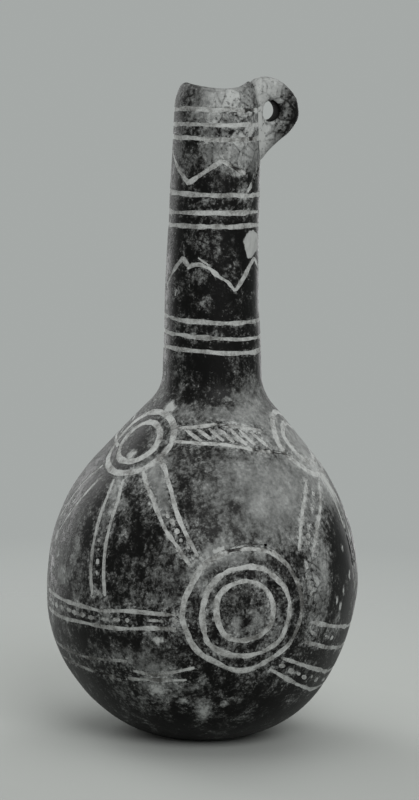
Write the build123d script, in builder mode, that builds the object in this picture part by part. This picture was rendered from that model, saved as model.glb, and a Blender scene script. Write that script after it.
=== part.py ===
from build123d import *
from math import acos, asin, atan2, cos, degrees, radians, sin, tan
import os

os.makedirs("parts", exist_ok=True)

# Long-necked, round-bottomed bottle of fired clay. Millimetres, +Z up, resting on z = 0.
# The string lug at the rim points along +X.

# Outside of the body, slip included
belly_r = 71.0  # widest radius
lower_arc_r = 81.0  # curve just under the belly
lower_turn = 36.0  # degrees that the lower curve turns
foot_arc_r = 58.0  # rounder curve of the underside
rest_r = 16.0  # radius of the worn flat that it stands on
upper_arc_r = 88.0  # curve over the belly
shoulder_turn = 41.5  # degrees that the upper curve turns before the straight shoulder
throat_r = 19.5  # hollow curve between shoulder and neck

# Neck and lip
neck_foot_r = 22.5  # neck radius where the shoulder's line meets it
neck_top_r = 18.6  # neck radius where the lip starts to draw in
neck_length = 127.0  # from the shoulder's line to the start of the lip
lip_draw_r = 22.0  # gentle curve of the drawn-in lip
lip_draw_turn = 25.0
bore_r = 12.2  # clear bore of the neck
bore_edge = 1.0  # bevel on the inner edge of the lip

# Clay walls and joints between the hand-built members
clay_wall = 5.0  # clay under the slip
seam_tilt = 35.0  # slope of the scarf joint round the belly, degrees
spigot_wall = 5.4  # wall of the neck's spigot in the shoulder
lute_gap = 0.2  # clay paste between spigot and shoulder

# Slip coat and the incised lines filled with lime
slip_thickness = 1.2
slip_foot_gap = 0.5  # the slip stops this far above the resting plane
groove_depth = 0.8
neck_line_width = 2.2
body_line_width = 1.8
line_land = 1.6  # slip left between one motif and the next

# String lug
lug_set_back = 2.3  # inner edge of the lug from the lip's inner edge
lug_length = 18.2  # sharp corner at the tip, before rounding, out from the neck
lug_tip_drop = 11.5  # tip below the top of the lip
lug_rise = 3.6  # lug above the top of the lip
lug_crown_out = 7.9  # where the top edge starts to fall away, out from the neck
lug_root_drop = 36.0  # lower root, inside the neck's wall, below the top of the lip
lug_thickness = 11.0
lug_corner_r = 5.0
lug_edge_r = 3.6
lug_hole_r = 3.6
lug_hole_out = 5.3  # hole centre, out from the neck
lug_hole_drop = 11.6  # hole centre below the top of the lip
lug_hole_flare = 0.8

# Neck decoration: three groups of three rings, two zigzags between the groups
lines_in_group = 3
line_pitch = 6.7
rim_group_drop = 9.8  # first ring of each group below the top of the lip
middle_group_drop = 48.0
foot_group_drop = 103.0
zigzag_waves = 4
upper_zigzag_drops = (28.0, 42.5)  # high and low points below the top of the lip
lower_zigzag_drops = (76.5, 89.5)
upper_zigzag_start = -92.0  # turn of a high point
lower_zigzag_start = -125.0

# Body decoration, three times round; turns are degrees from the lug, rises are heights over the belly
repeats = 3
shoulder_roundel_turn = -149.5
shoulder_roundel_drop = 21.2  # its centre below the shoulder's line at the neck
shoulder_roundel_radii = {"outer": 17.7, "inner": 11.2}
belly_roundel_turn = -84.3
belly_roundel_rise = -0.5
belly_roundel_radii = {"outer": 27.3, "middle": 20.9, "inner": 13.8}
collar_turn = -87.0  # middle of the collar between two shoulder roundels
collar_sweep = 84.0
collar_drops = (12.2, 20.2)  # its two lines below the shoulder's line at the neck
strap_spacing = 6.6  # between the two lines of a strap
strap_tops = {  # turn from the shoulder roundel and drop below its centre
    "left": (-13.0, 12.5),
    "middle": (3.5, 11.0),
    "right": (19.5, 7.9),
}
strap_feet = {  # turn from the shoulder roundel and rise
    "left": (-28.0, 26.0),
    "middle": (9.0, 2.0),
    "right": (46.8, 20.3),
}
belt_turn = -143.5  # middle of the belts between two belly roundels
belt_sweep = 72.0
belt_rises = {"upper": (-4.5, -12.5), "lower": (-26.5, -34.0)}

# Places that follow from the sizes above
foot_centre_r = belly_r - lower_arc_r + (lower_arc_r - foot_arc_r) * cos(radians(lower_turn))
clay_foot_arc_r = foot_arc_r - slip_thickness
rest_angle = acos((rest_r - foot_centre_r) / clay_foot_arc_r)
foot_centre_z = clay_foot_arc_r * sin(rest_angle)
belly_z = foot_centre_z + (lower_arc_r - foot_arc_r) * sin(radians(lower_turn))
shoulder_end_r = belly_r - upper_arc_r * (1 - cos(radians(shoulder_turn)))
shoulder_end_z = belly_z + upper_arc_r * sin(radians(shoulder_turn))
throat_z = shoulder_end_z + (shoulder_end_r - neck_foot_r) / tan(radians(shoulder_turn))
lip_start_z = throat_z + neck_length
neck_taper = degrees(atan2(neck_foot_r - neck_top_r, neck_length))
lip_top_r = bore_r + bore_edge
lip_tilt = radians(neck_taper + lip_draw_turn)  # lean of the lip where its tight round starts
lip_draw_end_r = neck_top_r - lip_draw_r * (cos(radians(neck_taper)) - cos(lip_tilt))
lip_round_r = (lip_draw_end_r - lip_top_r) / cos(lip_tilt)
wall = slip_thickness + clay_wall
spigot_r = bore_r + spigot_wall
far = belly_r + foot_arc_r  # reach of the cutting shapes, past every wall


# Outside outline moved inwards by an inset, from the underside at base_z to the top of the lip
def outline(inset, base_z):
    lower = JernArc((belly_r - inset, belly_z), (0, -1), lower_arc_r - inset, -lower_turn)
    under_turn = degrees(asin((foot_centre_z - base_z) / (foot_arc_r - inset))) - lower_turn
    under = JernArc(lower @ 1, lower % 1, foot_arc_r - inset, -under_turn)
    upper = JernArc((belly_r - inset, belly_z), (0, 1), upper_arc_r - inset, shoulder_turn)
    slope = radians(shoulder_turn)
    lean = radians(neck_taper)
    # Hollow throat: an arc that touches the shoulder's line and the neck's line
    corner_gap = (throat_r + inset) * tan((slope - lean) / 2)
    corner = Vector(neck_foot_r, throat_z) - inset_corner(inset, slope, lean)
    throat_start = corner + Vector(sin(slope), -cos(slope)) * corner_gap
    Line(upper @ 1, throat_start)
    throat = JernArc(throat_start, upper % 1, throat_r + inset, neck_taper - shoulder_turn)
    lip_start = Vector(neck_top_r, lip_start_z) - Vector(cos(lean), sin(lean)) * inset
    Line(throat @ 1, lip_start)
    draw = JernArc(lip_start, (-sin(lean), cos(lean)), lip_draw_r - inset, lip_draw_turn)
    crown = JernArc(draw @ 1, draw % 1, lip_round_r - inset, 90 - neck_taper - lip_draw_turn)
    return under @ 1, crown @ 1


# How far the corner of shoulder and neck moves when both lines move inwards by the inset
def inset_corner(inset, slope, lean):
    middle = (slope + lean) / 2
    return Vector(cos(middle), sin(middle)) * inset / cos((slope - lean) / 2)


# Solid filled to the axis inside the outline
def filled(inset, base_z):
    with BuildPart() as body:
        with BuildSketch(Plane.XZ):
            with BuildLine():
                base, crown = outline(inset, base_z)
                Polyline(base, (0, base.Y), (0, crown.Y), crown)
            make_face()
        revolve(axis=Axis.Z)
    return body.part


slip_blank = filled(0, slip_foot_gap)
clay_blank = filled(slip_thickness, 0)
groove_floor = filled(groove_depth, slip_foot_gap)
rim_z = slip_blank.bounding_box().max.Z

# Hollow of the body and the straight bore of the neck
with BuildPart() as hollow:
    with BuildSketch(Plane.XZ):
        with BuildLine():
            hollow_lower = JernArc((belly_r - wall, belly_z), (0, -1), lower_arc_r - wall, -lower_turn)
            hollow_floor = JernArc(hollow_lower @ 1, hollow_lower % 1, foot_arc_r - wall, lower_turn - 90)
            hollow_upper = JernArc((belly_r - wall, belly_z), (0, 1), upper_arc_r - wall, shoulder_turn)
            bore_foot_z = (hollow_upper @ 1).Y + ((hollow_upper @ 1).X - bore_r) / tan(radians(shoulder_turn))
            Polyline(
                hollow_upper @ 1,
                (bore_r, bore_foot_z),
                (bore_r, rim_z - bore_edge),
                (lip_top_r, rim_z),
                (0, rim_z),
                (0, (hollow_floor @ 1).Y),
                hollow_floor @ 1,
            )
        make_face()
    revolve(axis=Axis.Z)

# Whole clay wall before it is parted into the members that the potter joined
with BuildPart() as clay_wall_shape:
    add(clay_blank)
    with BuildSketch(Plane.XY.offset(rim_z - slip_thickness)):
        Circle(lip_top_r)
    extrude(amount=slip_thickness)
    add(hollow.part, mode=Mode.SUBTRACT)

# Everything under the scarf joint round the belly
with BuildPart() as under_seam:
    with BuildSketch(Plane.XZ):
        with BuildLine():
            seam_axis_z = belly_z + (belly_r - wall / 2) * tan(radians(seam_tilt))
            seam_far_z = seam_axis_z - far * tan(radians(seam_tilt))
            Polyline((0, -far), (far, -far), (far, seam_far_z), (0, seam_axis_z), close=True)
        make_face()
    revolve(axis=Axis.Z)


# Everything above the neck's seat on the shoulder, with the spigot below it
def neck_space(gap):
    with BuildPart() as space:
        with BuildSketch(Plane.XZ):
            with BuildLine():
                Polyline(
                    (0, belly_z + belly_r / 2),
                    (spigot_r + gap, belly_z + belly_r / 2),
                    (spigot_r + gap, throat_z),
                    (far, throat_z),
                    (far, rim_z + far),
                    (0, rim_z + far),
                    close=True,
                )
            make_face()
        revolve(axis=Axis.Z)
    return space.part


with BuildPart() as base_bowl:
    add(clay_wall_shape.part)
    add(under_seam.part, mode=Mode.INTERSECT)

with BuildPart() as neck_tube:
    add(clay_wall_shape.part)
    add(neck_space(0), mode=Mode.INTERSECT)

with BuildPart() as shoulder_dome:
    add(clay_wall_shape.part)
    add(under_seam.part, mode=Mode.SUBTRACT)
    add(neck_space(lute_gap), mode=Mode.SUBTRACT)

# Ear-shaped lug, luted to the neck and the lip, pierced for a cord
with BuildPart() as string_lug:
    with BuildSketch(Plane.XZ):
        with BuildLine():
            Polyline(
                (lip_top_r + lug_set_back, rim_z - lug_root_drop),
                (neck_top_r + lug_length, rim_z - lug_tip_drop),
                (neck_top_r + lug_crown_out, rim_z + lug_rise),
                (lip_top_r + lug_set_back, rim_z + lug_rise),
                close=True,
            )
        make_face()
        fillet(vertices().sort_by(Axis.X)[-2:], lug_corner_r)
    extrude(amount=lug_thickness / 2, both=True)
    side_edges = faces().filter_by(Axis.Y).edges()
    fillet(side_edges.sort_by(Axis.X)[2:], lug_edge_r)
    hole_centre = Vector(neck_top_r + lug_hole_out, 0, rim_z - lug_hole_drop)
    with BuildSketch(Plane.XZ):
        with Locations((hole_centre.X, hole_centre.Z)):
            Circle(lug_hole_r)
    extrude(amount=lug_thickness, both=True, mode=Mode.SUBTRACT)
    hole_wall = faces().filter_by(GeomType.CYLINDER).sort_by_distance(hole_centre)[0]
    fillet(hole_wall.edges().filter_by(GeomType.CIRCLE), lug_hole_flare)
    add(clay_blank, mode=Mode.SUBTRACT)


# Radius of the outside at a height, and the tilt of its outward direction above the level
def skin_at(height):
    rise = height - belly_z
    foot_joint_z = belly_z - lower_arc_r * sin(radians(lower_turn))
    if height < foot_joint_z:
        tilt = asin((height - foot_centre_z) / foot_arc_r)
        return foot_centre_r + foot_arc_r * cos(tilt), tilt
    if rise < 0:
        tilt = asin(rise / lower_arc_r)
        return belly_r - lower_arc_r * (1 - cos(tilt)), tilt
    if height < shoulder_end_z:
        tilt = asin(rise / upper_arc_r)
        return belly_r - upper_arc_r * (1 - cos(tilt)), tilt
    if height < throat_z:
        tilt = radians(shoulder_turn)
        return shoulder_end_r - (height - shoulder_end_z) * tan(tilt), tilt
    lean = radians(neck_taper)
    if height < lip_start_z:
        return neck_foot_r - (height - throat_z) * tan(lean), lean
    tilt = asin(sin(lean) + (height - lip_start_z) / lip_draw_r)
    return neck_top_r - lip_draw_r * (cos(lean) - cos(tilt)), tilt


# Point on the outside and its outward direction, at a turn from the lug and a height
def skin_point(turn, height):
    radius, tilt = skin_at(height)
    return Vector(radius * cos(radians(turn)), radius * sin(radians(turn)), height)


def skin_outward(turn, height):
    radius, tilt = skin_at(height)
    return Vector(cos(tilt) * cos(radians(turn)), cos(tilt) * sin(radians(turn)), sin(tilt))


def sideways(turn):
    return Vector(-sin(radians(turn)), cos(radians(turn)), 0)


def skin_plane(turn, height):
    return Plane(skin_point(turn, height), x_dir=sideways(turn), z_dir=skin_outward(turn, height))


# Band about the axis, whole or part of a ring, from the groove's floor out to a height over the surface
def band(height, width, over, turn=0, sweep=360):
    start = turn - sweep / 2
    with BuildPart() as ring:
        section = Plane(skin_point(start, height), x_dir=skin_outward(start, height), z_dir=sideways(start))
        with BuildSketch(section):
            with Locations(((over - groove_depth) / 2, 0)):
                Rectangle(over + groove_depth, width)
        revolve(axis=Axis.Z, revolution_arc=sweep)
    return ring.part


# Disc square to the surface, and the ring that bounds it
def disc_cutter(turn, height, radius):
    with BuildPart() as cutter:
        with BuildSketch(skin_plane(turn, height)):
            Circle(radius)
        extrude(amount=radius / 2, both=True)
    return cutter.part


def roundel_cutter(turn, height, radius):
    with BuildPart() as cutter:
        with BuildSketch(skin_plane(turn, height)):
            Circle(radius + body_line_width / 2)
            Circle(radius - body_line_width / 2, mode=Mode.SUBTRACT)
        extrude(amount=radius / 2, both=True)
    return cutter.part


# Straight stroke between two points of the surface, moved sideways by a shift
def stroke_cutter(start, end, width, shift=0):
    middle = skin_plane((start[0] + end[0]) / 2, (start[1] + end[1]) / 2)
    first = middle.to_local_coords(skin_point(*start))
    last = middle.to_local_coords(skin_point(*end))
    along = Vector(last.X - first.X, last.Y - first.Y).normalized()
    centre = Vector((first.X + last.X) / 2, (first.Y + last.Y) / 2) + Vector(-along.Y, along.X) * shift
    half = Vector(last.X - first.X, last.Y - first.Y) / 2
    with BuildPart() as cutter:
        with BuildSketch(middle):
            SlotCenterPoint(centre, centre + half, width)
        extrude(amount=half.length / 2 + slip_thickness, both=True)
    return cutter.part


# Zigzag round the neck, from the turn of a high point
def zigzag_cutter(start_turn, drops):
    step = 180 / zigzag_waves
    corners = [(start_turn + i * step, rim_z - drops[i % 2]) for i in range(2 * zigzag_waves + 1)]
    with BuildPart() as cutter:
        for first, last in zip(corners, corners[1:]):
            add(stroke_cutter(first, last, neck_line_width))
    return cutter.part


# Groove of one motif, cut down to the groove's floor, and the lime that fills it flush with the slip
def incise(cutters, keep_clear=()):
    with BuildPart() as groove:
        add(cutters)
        add(keep_clear, mode=Mode.SUBTRACT)
        add(groove_floor, mode=Mode.SUBTRACT)
    with BuildPart() as lime:
        add(groove.part)
        add(slip_blank, mode=Mode.INTERSECT)
    return groove.part, lime.part


# The same for bands, whose section is drawn at its true depth
def incise_bands(heights, width, turn=0, sweep=360, keep_clear=()):
    with BuildPart() as groove:
        add([band(height, width, slip_thickness, turn, sweep) for height in heights])
        add(keep_clear, mode=Mode.SUBTRACT)
    with BuildPart() as lime:
        add([band(height, width, 0, turn, sweep) for height in heights])
        add(keep_clear, mode=Mode.SUBTRACT)
    return groove.part, lime.part


# Neck motifs, once each
group_drops = {"rim": rim_group_drop, "middle": middle_group_drop, "foot": foot_group_drop}
neck_motifs = {}
for group, drop in group_drops.items():
    for number in range(lines_in_group):
        ring_z = rim_z - drop - number * line_pitch
        ring = incise_bands([ring_z], neck_line_width, keep_clear=[string_lug.part])
        neck_motifs[f"{group}_line_{number + 1}"] = ring
upper_zigzag = zigzag_cutter(upper_zigzag_start, upper_zigzag_drops)
lower_zigzag = zigzag_cutter(lower_zigzag_start, lower_zigzag_drops)
neck_motifs["neck_zigzag_upper"] = incise([upper_zigzag], [string_lug.part])
neck_motifs["neck_zigzag_lower"] = incise([lower_zigzag])

# Discs that the straps, collars and belts stop at
turns = [360 / repeats * i for i in range(repeats)]
clear_of_line = body_line_width / 2 + line_land
shoulder_z = throat_z - shoulder_roundel_drop
shoulder_clear_r = shoulder_roundel_radii["outer"] + clear_of_line
shoulder_discs = [disc_cutter(shoulder_roundel_turn + t, shoulder_z, shoulder_clear_r) for t in turns]
roundel_z = belly_z + belly_roundel_rise
belly_clear_r = belly_roundel_radii["outer"] + clear_of_line
belly_discs = [disc_cutter(belly_roundel_turn + t, roundel_z, belly_clear_r) for t in turns]

# Body motifs, made once and then turned round the vessel
body_motifs = {}
for ring, radius in shoulder_roundel_radii.items():
    circle = roundel_cutter(shoulder_roundel_turn, shoulder_z, radius)
    body_motifs[f"shoulder_roundel_{ring}"] = incise([circle])
for ring, radius in belly_roundel_radii.items():
    circle = roundel_cutter(belly_roundel_turn, roundel_z, radius)
    body_motifs[f"belly_roundel_{ring}"] = incise([circle])
collar_heights = [throat_z - drop for drop in collar_drops]
collar = incise_bands(collar_heights, body_line_width, collar_turn, collar_sweep, shoulder_discs)
body_motifs["collar_lines"] = collar
for side, (top_turn, top_drop) in strap_tops.items():
    foot_turn, foot_rise = strap_feet[side]
    start = (shoulder_roundel_turn + top_turn, shoulder_z - top_drop)
    end = (shoulder_roundel_turn + foot_turn, belly_z + foot_rise)
    shifts = (-strap_spacing / 2, strap_spacing / 2)
    pair = [stroke_cutter(start, end, body_line_width, shift) for shift in shifts]
    body_motifs[f"strap_{side}"] = incise(pair, shoulder_discs + belly_discs)
for level, rises in belt_rises.items():
    belt_heights = [belly_z + rise for rise in rises]
    belt = incise_bands(belt_heights, body_line_width, belt_turn, belt_sweep, belly_discs)
    body_motifs[f"belt_{level}"] = belt

grooves = {name: groove for name, (groove, lime) in neck_motifs.items()}
inlays = {name: lime for name, (groove, lime) in neck_motifs.items()}
for name, (groove, lime) in body_motifs.items():
    for number, turn in enumerate(turns, start=1):
        grooves[f"{name}_{number}"] = groove.rotate(Axis.Z, turn)
        inlays[f"{name}_{number}"] = lime.rotate(Axis.Z, turn)

# Burnished slip over bowl, shoulder and neck, turned in over the lip, with the grooves left in it
with BuildPart() as slip_coat:
    add(slip_blank)
    add(clay_blank, mode=Mode.SUBTRACT)
    with BuildSketch(Plane.XY.offset(rim_z)):
        Circle(lip_top_r)
    extrude(amount=-2 * slip_thickness, mode=Mode.SUBTRACT)
    add(string_lug.part, mode=Mode.SUBTRACT)
    add(grooves.values(), mode=Mode.SUBTRACT)

members = {
    "base_bowl": base_bowl.part,
    "shoulder_dome": shoulder_dome.part,
    "neck_tube": neck_tube.part,
    "string_lug": string_lug.part,
    "slip_coat": slip_coat.part,
}
for name, piece in (members | inlays).items():
    piece.label = name
    export_step(piece, f"parts/{name}.step")
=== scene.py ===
import bpy
import bmesh
import numpy as np
from bisect import bisect_right
from math import acos, atan2, cos, degrees, dist, exp, hypot, pi, radians, sin, sqrt, tan, tau
from mathutils import Matrix, Vector
from mathutils.kdtree import KDTree
from mathutils.noise import noise


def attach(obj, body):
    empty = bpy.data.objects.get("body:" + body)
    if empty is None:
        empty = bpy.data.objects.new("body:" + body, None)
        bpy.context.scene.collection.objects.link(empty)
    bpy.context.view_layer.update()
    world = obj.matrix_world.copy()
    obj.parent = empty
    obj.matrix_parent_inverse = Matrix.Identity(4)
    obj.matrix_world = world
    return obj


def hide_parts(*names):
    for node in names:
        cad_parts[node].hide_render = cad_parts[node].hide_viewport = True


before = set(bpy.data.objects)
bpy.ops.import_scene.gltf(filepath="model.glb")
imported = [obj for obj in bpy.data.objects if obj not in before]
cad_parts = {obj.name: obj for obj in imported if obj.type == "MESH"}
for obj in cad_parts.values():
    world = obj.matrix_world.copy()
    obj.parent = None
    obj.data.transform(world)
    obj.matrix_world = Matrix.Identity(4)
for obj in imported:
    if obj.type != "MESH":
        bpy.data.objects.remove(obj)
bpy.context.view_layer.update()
mm = 0.001
print("frame loaded", len(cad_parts), "nodes")


# point part of the way from one pair of values to another
def mixed(a, b, part, whole=1):
    return tuple(p + (q - p) * part / whole for p, q in zip(a, b))


def around(turn):
    return cos(radians(turn)), sin(radians(turn))


def wander(x, y, z):
    return noise(Vector((x, y, z)))


def smoothStep(low, high, x):
    t = min(max((x - low) / (high - low), 0), 1)
    return t * t * (3 - 2 * t)


# the pot's own outline, metres, turned about the z axis with the string lug at +x
vessel = {
    "bellyR": 71 * mm, "lowerArcR": 81 * mm, "lowerTurn": 36, "footArcR": 58 * mm, "restR": 16 * mm,
    "upperArcR": 88 * mm, "shoulderTurn": 41.5, "throatR": 19.5 * mm,
    "neckFootR": 22.5 * mm, "neckTopR": 18.6 * mm, "neckLength": 127 * mm,
    "lipDrawR": 22 * mm, "lipDrawTurn": 25, "lipLeastR": 0.1 * mm, "boreR": 12.2 * mm, "boreEdge": 1 * mm,
    "slip": 1.2 * mm, "wall": 6.2 * mm, "slipFootGap": 0.5 * mm, "spigotR": 17.6 * mm,
    "step": 0.5 * mm, "crownFiner": 0.6,
}


def arcPoints(centre, radius, startDeg, endDeg, step):
    count = max(2, int(abs(radians(endDeg - startDeg)) * radius / step))
    turns = [radians(startDeg + (endDeg - startDeg) * i / count) for i in range(count + 1)]
    return [(centre[0] + radius * cos(t), centre[1] + radius * sin(t)) for t in turns]


def linePoints(start, end, step):
    count = max(1, int(dist(start, end) / step))
    return [mixed(start, end, i, count) for i in range(count + 1)]


# side of the pot from the foot to the top of the lip, moved in by an inset
def potSide(inset, step):
    v = vessel
    footC = v["bellyR"] - v["lowerArcR"] + (v["lowerArcR"] - v["footArcR"]) * cos(radians(v["lowerTurn"]))
    clayFoot = v["footArcR"] - v["slip"]
    footZ = clayFoot * sin(acos((v["restR"] - footC) / clayFoot))
    bellyZ = footZ + (v["lowerArcR"] - v["footArcR"]) * sin(radians(v["lowerTurn"]))
    slope = radians(v["shoulderTurn"])
    endR = v["bellyR"] - v["upperArcR"] * (1 - cos(slope))
    endZ = bellyZ + v["upperArcR"] * sin(slope)
    throatZ = endZ + (endR - v["neckFootR"]) / tan(slope)
    lean = atan2(v["neckFootR"] - v["neckTopR"], v["neckLength"])
    points = arcPoints((footC, footZ), v["footArcR"] - inset, -90, -v["lowerTurn"], step)
    for arcR, start, end in ((v["lowerArcR"], -v["lowerTurn"], 0), (v["upperArcR"], 0, v["shoulderTurn"])):
        points += arcPoints((v["bellyR"] - arcR, bellyZ), arcR - inset, start, end, step)[1:]
    middle = (slope + lean) / 2
    reach = inset / cos((slope - lean) / 2)
    corner = (v["neckFootR"] - cos(middle) * reach, throatZ - sin(middle) * reach)
    throatR = v["throatR"] + inset
    gap = throatR * tan((slope - lean) / 2)
    throatStart = (corner[0] + sin(slope) * gap, corner[1] - cos(slope) * gap)
    points += linePoints(points[-1], throatStart, step)[1:]
    throatC = (throatStart[0] + cos(slope) * throatR, throatStart[1] + sin(slope) * throatR)
    leanDeg = degrees(lean)
    points += arcPoints(throatC, throatR, 180 + v["shoulderTurn"], 180 + leanDeg, step)[1:]
    lipZ = throatZ + v["neckLength"]
    lipStart = (v["neckTopR"] - cos(lean) * inset, lipZ - sin(lean) * inset)
    points += linePoints(points[-1], lipStart, step)[1:]
    drawC = (v["neckTopR"] - cos(lean) * v["lipDrawR"], lipZ - sin(lean) * v["lipDrawR"])
    drawEnd = leanDeg + v["lipDrawTurn"]
    points += arcPoints(drawC, v["lipDrawR"] - inset, leanDeg, drawEnd, step)[1:]
    c, s = around(drawEnd)
    lipRound = (drawC[0] + v["lipDrawR"] * c - v["boreR"] - v["boreEdge"]) / c
    crownR = v["lipDrawR"] - lipRound
    crownC = (drawC[0] + crownR * c, drawC[1] + crownR * s)
    crown = arcPoints(crownC, max(lipRound - inset, v["lipLeastR"]), drawEnd, 90, step * v["crownFiner"])
    return points + crown[1:]


# part of that side between two heights, ends cut exactly
def sideBetween(inset, lowZ, highZ, step):
    points = potSide(inset, step)
    kept = [p for p in points if lowZ < p[1] < highZ]
    for z, place in ((lowZ, 0), (highZ, len(kept) + 1)):
        for a, b in zip(points, points[1:]):
            if a[1] <= z <= b[1] and b[1] > a[1]:
                share = (z - a[1]) / (b[1] - a[1])
                kept.insert(place, (mixed(a, b, share)[0], z))
                break
    return kept


outerSide = potSide(0, vessel["step"])
outerZ = [p[1] for p in outerSide]
rimZ = outerSide[-1][1]


# point of the plain outside and its outward direction, at a turn in degrees and a height
def onSkin(turn, z):
    i = min(max(bisect_right(outerZ, z), 2), len(outerZ) - 2)
    a, b = outerSide[i - 1], outerSide[i]
    r = a[0] + (b[0] - a[0]) * ((z - a[1]) / (b[1] - a[1]))
    before, after = outerSide[i - 2], outerSide[i + 1]
    out = Vector((after[1] - before[1], before[0] - after[0])).normalized()
    c, s = around(turn)
    return Vector((r * c, r * s, z)), Vector((out[0] * c, out[0] * s, out[1]))


# slight unevenness of a hand-built pot; every piece goes through it, so all still fit
hand = {
    "swell": 0.55 * mm, "swellSize": 42 * mm, "swellAt": Vector((3.1, 7.7, 1.3)),
    "dent": 0.22 * mm, "dentSize": 13 * mm, "dentAt": Vector((9.4, 2.2, 5.8)),
    "groundedZ": 12 * mm, "slimLeast": 0.35, "slimR": (18 * mm, 45 * mm),  # the thin neck stays truer
    # heights, and shifts sideways or out, mm
    "sway": [(0, 0.6), (45, -0.7), (75, 0.2), (105, 0), (137, 1.3), (155, 1.6), (178, 0.9), (205, -0.2),
             (228, -0.5), (262, -0.4), (300, -0.9)],
    "girth": [(0, 0), (100, 0), (140, 0.6), (165, 0.2), (200, 0), (232, 0.1), (252, 0.6), (300, 0.7)],
    "swayDir": Vector((0.985, -0.174, 0)),
    "topDepth": 14 * mm, "saddle": 0.85 * mm, "saddleBias": 0.1, "backDrop": 2.4 * mm,
    "lugLift": 1.4 * mm, "lugWidth": 48, "lugNarrower": 22, "lipWave": 0.5 * mm, "waveSize": 11 * mm,
}


def eased(table, z):
    for (z0, v0), (z1, v1) in zip(table, table[1:]):
        if z0 <= z <= z1:
            return v0 + (v1 - v0) * smoothStep(z0, z1, z)
    return table[0][1] if z < table[0][0] else table[-1][1]


def handShape(p):
    flat = hypot(p.x, p.y)
    grounded = smoothStep(0, hand["groundedZ"], p.z)
    swell = noise(p / hand["swellSize"] + hand["swellAt"]) * hand["swell"]
    dent = noise(p / hand["dentSize"] + hand["dentAt"]) * hand["dent"]
    slim = hand["slimLeast"] + (1 - hand["slimLeast"]) * smoothStep(*hand["slimR"], flat)
    moved = p.copy()
    if flat > 1e-6:
        push = ((swell + dent) * slim + eased(hand["girth"], p.z / mm) * mm) * grounded / flat
        moved.x += p.x * push
        moved.y += p.y * push
    moved += hand["swayDir"] * eased(hand["sway"], p.z / mm) * mm * grounded
    top = smoothStep(rimZ - hand["topDepth"], rimZ, p.z)
    if top > 0:
        turn = atan2(p.y, p.x)
        behind = max(sin(turn), 0)
        lugWidth = hand["lugWidth"] - hand["lugNarrower"] * behind
        moved.z += top * hand["saddle"] * (cos(2 * turn) - hand["saddleBias"])
        moved.z -= top * hand["backDrop"] * behind
        moved.z += top * hand["lugLift"] * exp(-(degrees(turn) / lugWidth) ** 2)
        moved.z += top * hand["lipWave"] * noise(Vector((p.x, p.y, 0)) / hand["waveSize"])
    return moved


weld, tubeWeld = 1e-6, 1e-7


def addPiece(name, mesh):
    piece = bpy.data.objects.new(name, mesh)
    bpy.context.scene.collection.objects.link(piece)
    return piece


def newPiece(name, bm):
    mesh = bpy.data.meshes.new(name)
    bm.to_mesh(mesh)
    bm.free()
    return addPiece(name, mesh)


# closed section turned round the axis
def turned(name, section, steps):
    bm = bmesh.new()
    verts = [bm.verts.new((r, 0, z)) for r, z in section]
    edges = [bm.edges.new(pair) for pair in zip(verts, verts[1:] + verts[:1])]
    bmesh.ops.spin(bm, geom=verts + edges, cent=(0, 0, 0), axis=(0, 0, 1), angle=tau, steps=steps, use_merge=True)
    bmesh.ops.remove_doubles(bm, verts=bm.verts, dist=weld)
    bmesh.ops.dissolve_degenerate(bm, edges=bm.edges, dist=weld)
    bmesh.ops.recalc_face_normals(bm, faces=bm.faces)
    return newPiece(name, bm)


def evaluated(piece):
    return bpy.data.meshes.new_from_object(piece.evaluated_get(bpy.context.evaluated_depsgraph_get()))


def setMesh(piece, mesh):
    old = piece.data
    piece.modifiers.clear()
    piece.data = mesh
    mesh.name = piece.name
    bpy.data.meshes.remove(old)


def carve(piece, cutters):
    group = bpy.data.collections.new("cutters")
    bpy.context.scene.collection.children.link(group)
    for cutter in cutters:
        group.objects.link(cutter)
    cut = piece.modifiers.new("carve", "BOOLEAN")
    cut.operation, cut.solver, cut.operand_type, cut.collection = "DIFFERENCE", "MANIFOLD", "COLLECTION", group
    setMesh(piece, evaluated(piece))
    bpy.data.collections.remove(group)


# incised lines; half widths are given in bevels
incised = {
    "spacing": 1.5 * mm, "samples": 40, "bevel": 1.025 * mm, "bevelSides": 2, "lift": 0.225 * mm,
    "deepest": 1.05 * mm, "wobble": 0.35 * mm, "wobbleSize": 14 * mm, "endThin": 0.62, "prickRound": 0.88,
    "thickness": ((0.52, 9 * mm, 4), (0.46, 3 * mm, 8)),  # share, size and layer of the noise
    "ringWave": ((1, 1.3, 2.3), (0.35, 4, 5.1)),  # share, size and seed step of the noise
}


# even samples of a hand-drawn line given by (turn, height in mm) corners, with a tremble
def drawnLine(corners, seed, wobble=1):
    samples = incised["samples"]
    dense = [mixed(a, b, i, samples) for a, b in zip(corners, corners[1:]) for i in range(samples)]
    dense = [(turn, z * mm) for turn, z in dense + [corners[-1]]]
    spots = [onSkin(*d)[0] for d in dense]
    picked, since, along = [(0, 0)], 0, 0
    for i in range(1, len(spots)):
        length = (spots[i] - spots[i - 1]).length
        since += length
        along += length
        if since >= incised["spacing"] or i == len(spots) - 1:
            picked.append((i, along))
            since = 0
    line = []
    for i, along in picked:
        turn, z = dense[i]
        r = hypot(spots[i].x, spots[i].y)
        aside, up = (wander(along / incised["wobbleSize"], seed * 3.7, layer) * incised["wobble"] * wobble
                     for layer in (0, 9))
        line.append((turn + degrees(aside / r), z + up, along))
    return line


# where a point over the pot comes down on the skin
def slideOnto(point, out):
    low, high, halvings = -3 * mm, 25 * mm, 28
    for _ in range(halvings):
        mid = (low + high) / 2
        q = point - out * mid
        if hypot(q.x, q.y) > onSkin(0, q.z)[0].x:
            low = mid
        else:
            high = mid
    q = point - out * low
    return degrees(atan2(q.y, q.x)), q.z


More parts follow.
